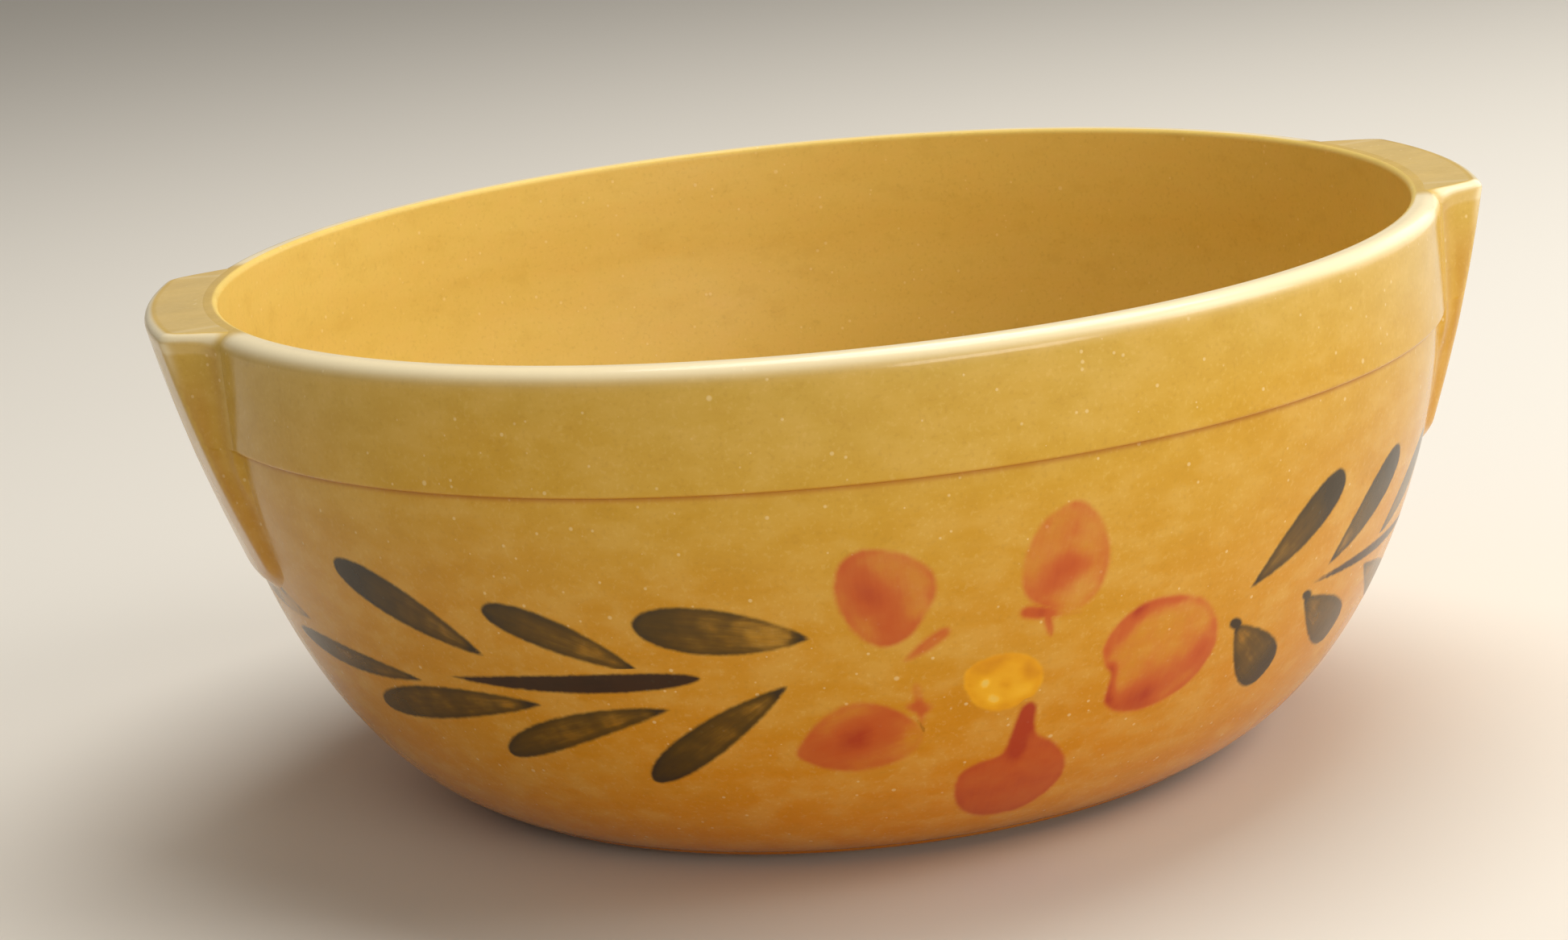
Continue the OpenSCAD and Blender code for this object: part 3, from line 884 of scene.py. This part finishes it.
def make_brush_group():
    """Brushed colour over the glaze: the load sets how much of the ground
    shows, the edge is soft and a little uneven, and streaks run along the
    stroke."""
    group, give, take = new_group(
        "brushed_colour",
        [("Position", "NodeSocketVector"), ("Along", "NodeSocketVector"), ("Edge", "NodeSocketFloat"),
         ("Load", "NodeSocketFloat"), ("Softness", "NodeSocketFloat"), ("Streaks", "NodeSocketFloat"),
         ("Blots", "NodeSocketFloat")],
        [("Cover", "NodeSocketFloat"), ("Depth", "NodeSocketFloat")])
    where = give.outputs["Position"]
    ragged = noise(group, where, 500, 3.0, 0.6)
    uneven = maths(group, "MULTIPLY", maths(group, "SUBTRACT", ragged, 0.5), 0.7)
    edge = maths(group, "ADD", give.outputs["Edge"], uneven)
    edge = maths(group, "DIVIDE", edge, give.outputs["Softness"])
    cover = ranged(group, edge, -0.45, 0.55)
    streak = noise(group, stretch(group, give.outputs["Along"], (90, 800, 1)), 1.0, 3.0, 0.6)
    pools = noise(group, where, 150, 2.0)
    vary = maths(group, "MULTIPLY", maths(group, "SUBTRACT", streak, 0.5), give.outputs["Streaks"])
    blots = maths(group, "MULTIPLY", maths(group, "SUBTRACT", pools, 0.5), give.outputs["Blots"])
    depth = maths(group, "ADD", give.outputs["Load"], maths(group, "ADD", vary, blots), clamp=True)
    group.links.new(cover, take.inputs["Cover"])
    group.links.new(depth, take.inputs["Depth"])
    return group


def new_material(name):
    """A material with an empty Principled shader."""
    material = bpy.data.materials.new(name)
    material.use_nodes = True
    tree = material.node_tree
    shader = [n for n in tree.nodes if n.type == "BSDF_PRINCIPLED"][0]
    return material, tree, shader


def attribute(tree, name):
    """A float attribute of the mesh."""
    node = tree.nodes.new("ShaderNodeAttribute")
    node.attribute_name = name
    return node.outputs["Fac"]


def add_relief(tree, shader, height, strength, distance):
    """Fine relief of the surface, as a bump of the height."""
    bump = tree.nodes.new("ShaderNodeBump")
    bump.inputs["Strength"].default_value = strength
    bump.inputs["Distance"].default_value = distance
    tree.links.new(height, bump.inputs["Height"])
    tree.links.new(bump.outputs["Normal"], shader.inputs["Normal"])


def use_group(tree, group, **inputs):
    """A node group placed in a material, with its named inputs linked."""
    node = tree.nodes.new("ShaderNodeGroup")
    node.node_tree = group
    for label, socket in inputs.items():
        tree.links.new(socket, node.inputs[label])
    return node


GLAZE = make_glaze_group()
SURFACE = make_surface_group()
BRUSH = make_brush_group()


def glazed_material(name, brush=None):
    """Amber glaze, and over it one brushed colour if a brush is given: its
    colour stops from a thin wash to full colour, the range over which they
    show, its edge's softness, and its streaks and blots."""
    material, tree, shader = new_material(name)
    where = tree.nodes.new("ShaderNodeTexCoord").outputs["Object"]
    # The glaze's pale band and its brown come from mesh attributes that carry painted highlight and
    # painted shade.
    glaze = use_group(tree, GLAZE, Position=where, Thin=attribute(tree, "thin"),
                      Pool=attribute(tree, "pool_and_shade"), Inside=attribute(tree, "inside"))
    base = glaze.outputs["Colour"]
    if brush:
        along = tree.nodes.new("ShaderNodeUVMap")
        along.uv_map = "stroke"
        mark = use_group(tree, BRUSH, Position=where, Along=along.outputs["UV"],
                         Edge=attribute(tree, "edge"), Load=attribute(tree, "load"))
        for label in ("Softness", "Streaks", "Blots"):
            mark.inputs[label].default_value = brush[label.lower()]
        depth = mark.outputs["Depth"]
        hue = ramp(tree, depth, brush["stops"])
        show = ranged(tree, depth, *brush["show"])
        base = laid_over(tree, maths(tree, "MULTIPLY", show, mark.outputs["Cover"]), base, hue)
    tree.links.new(base, shader.inputs["Base Color"])
    finish = use_group(tree, SURFACE, Position=where, Fleck=glaze.outputs["Fleck"],
                       Inside=attribute(tree, "inside"))
    add_relief(tree, shader, finish.outputs["Height"], 0.5, 0.9 * MM)
    tree.links.new(finish.outputs["Roughness"], shader.inputs["Roughness"])
    shader.inputs["IOR"].default_value = 1.5
    shader.inputs["Specular IOR Level"].default_value = 0.32
    return material


def clay_material(name):
    """Bare fired clay: buff with iron specks, a sandy grain and no gloss."""
    material, tree, shader = new_material(name)
    where = tree.nodes.new("ShaderNodeTexCoord").outputs["Object"]
    cloud = noise(tree, where, 60, 3.0)
    base = ramp(tree, cloud, [(0.3, colour(176, 146, 108)), (0.7, colour(206, 178, 140))])
    specks = flecks(tree, where, 600, 0.22, 0.3)
    base = laid_over(tree, maths(tree, "MULTIPLY", specks, 0.7), base, colour(96, 66, 40))
    tree.links.new(base, shader.inputs["Base Color"])
    sand = noise(tree, where, 1600, 3.0)
    tree.links.new(ranged(tree, sand, 0.3, 0.7, 0.75, 0.92), shader.inputs["Roughness"])
    add_relief(tree, shader, sand, 0.6, 0.3 * MM)
    return material


glaze_finish = glazed_material("amber_glaze")
petal_finish = glazed_material("petal_wash", {
    "stops": [(0.0, colour(208, 134, 50)), (0.35, colour(204, 106, 40)),
              (0.7, colour(194, 80, 28)), (1.0, colour(172, 42, 20))],
    "show": (0.0, 0.62, 0.1, 0.92), "softness": 1.7, "streaks": 0.14, "blots": 0.46})
centre_finish = glazed_material("centre_yellow", {
    "stops": [(0.0, colour(255, 226, 120)), (0.4, colour(244, 182, 34)),
              (0.7, colour(232, 162, 8)), (1.0, colour(206, 130, 2))],
    "show": (0.0, 0.4, 0.6, 0.95), "softness": 1.2, "streaks": 0.1, "blots": 0.6})
leaf_finish = glazed_material("leaf_olive", {
    "stops": [(0.0, colour(140, 100, 8)), (0.35, colour(102, 71, 3)),
              (0.65, colour(70, 50, 4)), (1.0, colour(36, 30, 18))],
    "show": (0.0, 0.5, 0.2, 0.96), "softness": 1.1, "streaks": 0.3, "blots": 0.55})
stem_finish = glazed_material("stem_brown", {
    "stops": [(0.0, colour(96, 54, 14)), (0.6, colour(56, 28, 8)), (1.0, colour(36, 18, 8))],
    "show": (0.0, 0.5, 0.4, 0.97), "softness": 1.0, "streaks": 0.3, "blots": 0.4})
clay_finish = clay_material("bare_clay")


def finish_piece(piece, material):
    """Gives the piece its one material."""
    piece.data.materials.clear()
    piece.data.materials.append(material)


finish_piece(make_body(), glaze_finish)
finish_piece(make_collar(), glaze_finish)
finish_piece(make_ring(), clay_finish)
finish_piece(make_handle("lug_right", 0.0, "right_handle"), glaze_finish)
finish_piece(make_handle("lug_left", pi, "left_handle"), glaze_finish)

BRUSHWORK = [
    ("petals", PETALS, "petal_colour", "flower_petals", UPPER_LIFT, petal_finish),
    ("centres", CENTRES, "centre_colour", "flower_centres", SKIN_LIFT, centre_finish),
    ("leaves_left", LEFT_LEAVES, "leaf_colour", "left_spray_leaves", SKIN_LIFT, leaf_finish),
    ("stems_left", LEFT_STEMS, "stem_colour", "left_spray_stems", UPPER_LIFT, stem_finish),
    ("leaves_right", RIGHT_LEAVES, "leaf_colour", "right_spray_leaves", SKIN_LIFT, leaf_finish),
    ("stems_right", RIGHT_STEMS, "stem_colour", "right_spray_stems", UPPER_LIFT, stem_finish),
]
for name, dabs, slot, node, lift, finish in BRUSHWORK:
    finish_piece(make_brushwork(name, dabs, node, lift), finish)


# ---------------------------------------------------------------- studio

def make_floor():
    """A plain pale floor, wide enough to fill the view."""
    size = 6.0
    corners = [(-size, -size, 0), (size, -size, 0), (size, size, 0), (-size, size, 0)]
    mesh = bpy.data.meshes.new("floor")
    mesh.from_pydata(corners, [], [(0, 1, 2, 3)])
    floor = bpy.data.objects.new("floor", mesh)
    bpy.context.scene.collection.objects.link(floor)
    material, _, shader = new_material("pale_floor")
    shader.inputs["Base Color"].default_value = colour(224, 217, 204)
    shader.inputs["Roughness"].default_value = 0.9
    mesh.materials.append(material)


def add_lamp(name, place, aim, size, power, tint=(1, 1, 1)):
    """A rectangular soft lamp at the place that faces the aim."""
    data = bpy.data.lights.new(name, "AREA")
    data.shape = "RECTANGLE"
    data.size, data.size_y = size
    data.energy = power
    data.color = tint
    lamp = bpy.data.objects.new(name, data)
    bpy.context.scene.collection.objects.link(lamp)
    place = Vector(place)
    turn = (Vector(aim) - place).to_track_quat("-Z", "Y").to_matrix().to_4x4()
    lamp.matrix_world = Matrix.Translation(place) @ turn


def light_studio():
    """Pale surroundings, a soft key from the right, a soft lamp overhead, a low
    one in front and a wide card beside the bowl. The surroundings are dimmer
    as light and in reflections than they look behind the bowl."""
    world = bpy.data.worlds.new("studio")
    bpy.context.scene.world = world
    world.use_nodes = True
    tree = world.node_tree
    ground = [n for n in tree.nodes if n.type == "BACKGROUND"][0]
    ground.inputs["Color"].default_value = (1.0, 0.97, 0.93, 1)
    seen = tree.nodes.new("ShaderNodeLightPath")
    light = maths(tree, "ADD", maths(tree, "MULTIPLY", seen.outputs["Is Camera Ray"], 0.6), 0.25)
    tree.links.new(light, ground.inputs["Strength"])
    add_lamp("key", (1.35, -0.5, 1.1), (0, 0, 0.08), (0.9, 0.9), 9.5)
    add_lamp("overhead", (0.3, 0.3, 1.5), (0, 0, 0.1), (1.1, 1.1), 20)
    add_lamp("low_front", (0.6, -1.6, 0.4), (0, 0, 0.04), (1.0, 0.5), 10, (1, 0.95, 0.88))
    add_lamp("side_card", (1.4, 0.7, 0.45), (0, 0, 0.08), (1.3, 0.9), 5)


make_floor()
light_studio()
bpy.context.scene.view_settings.view_transform = "Standard"
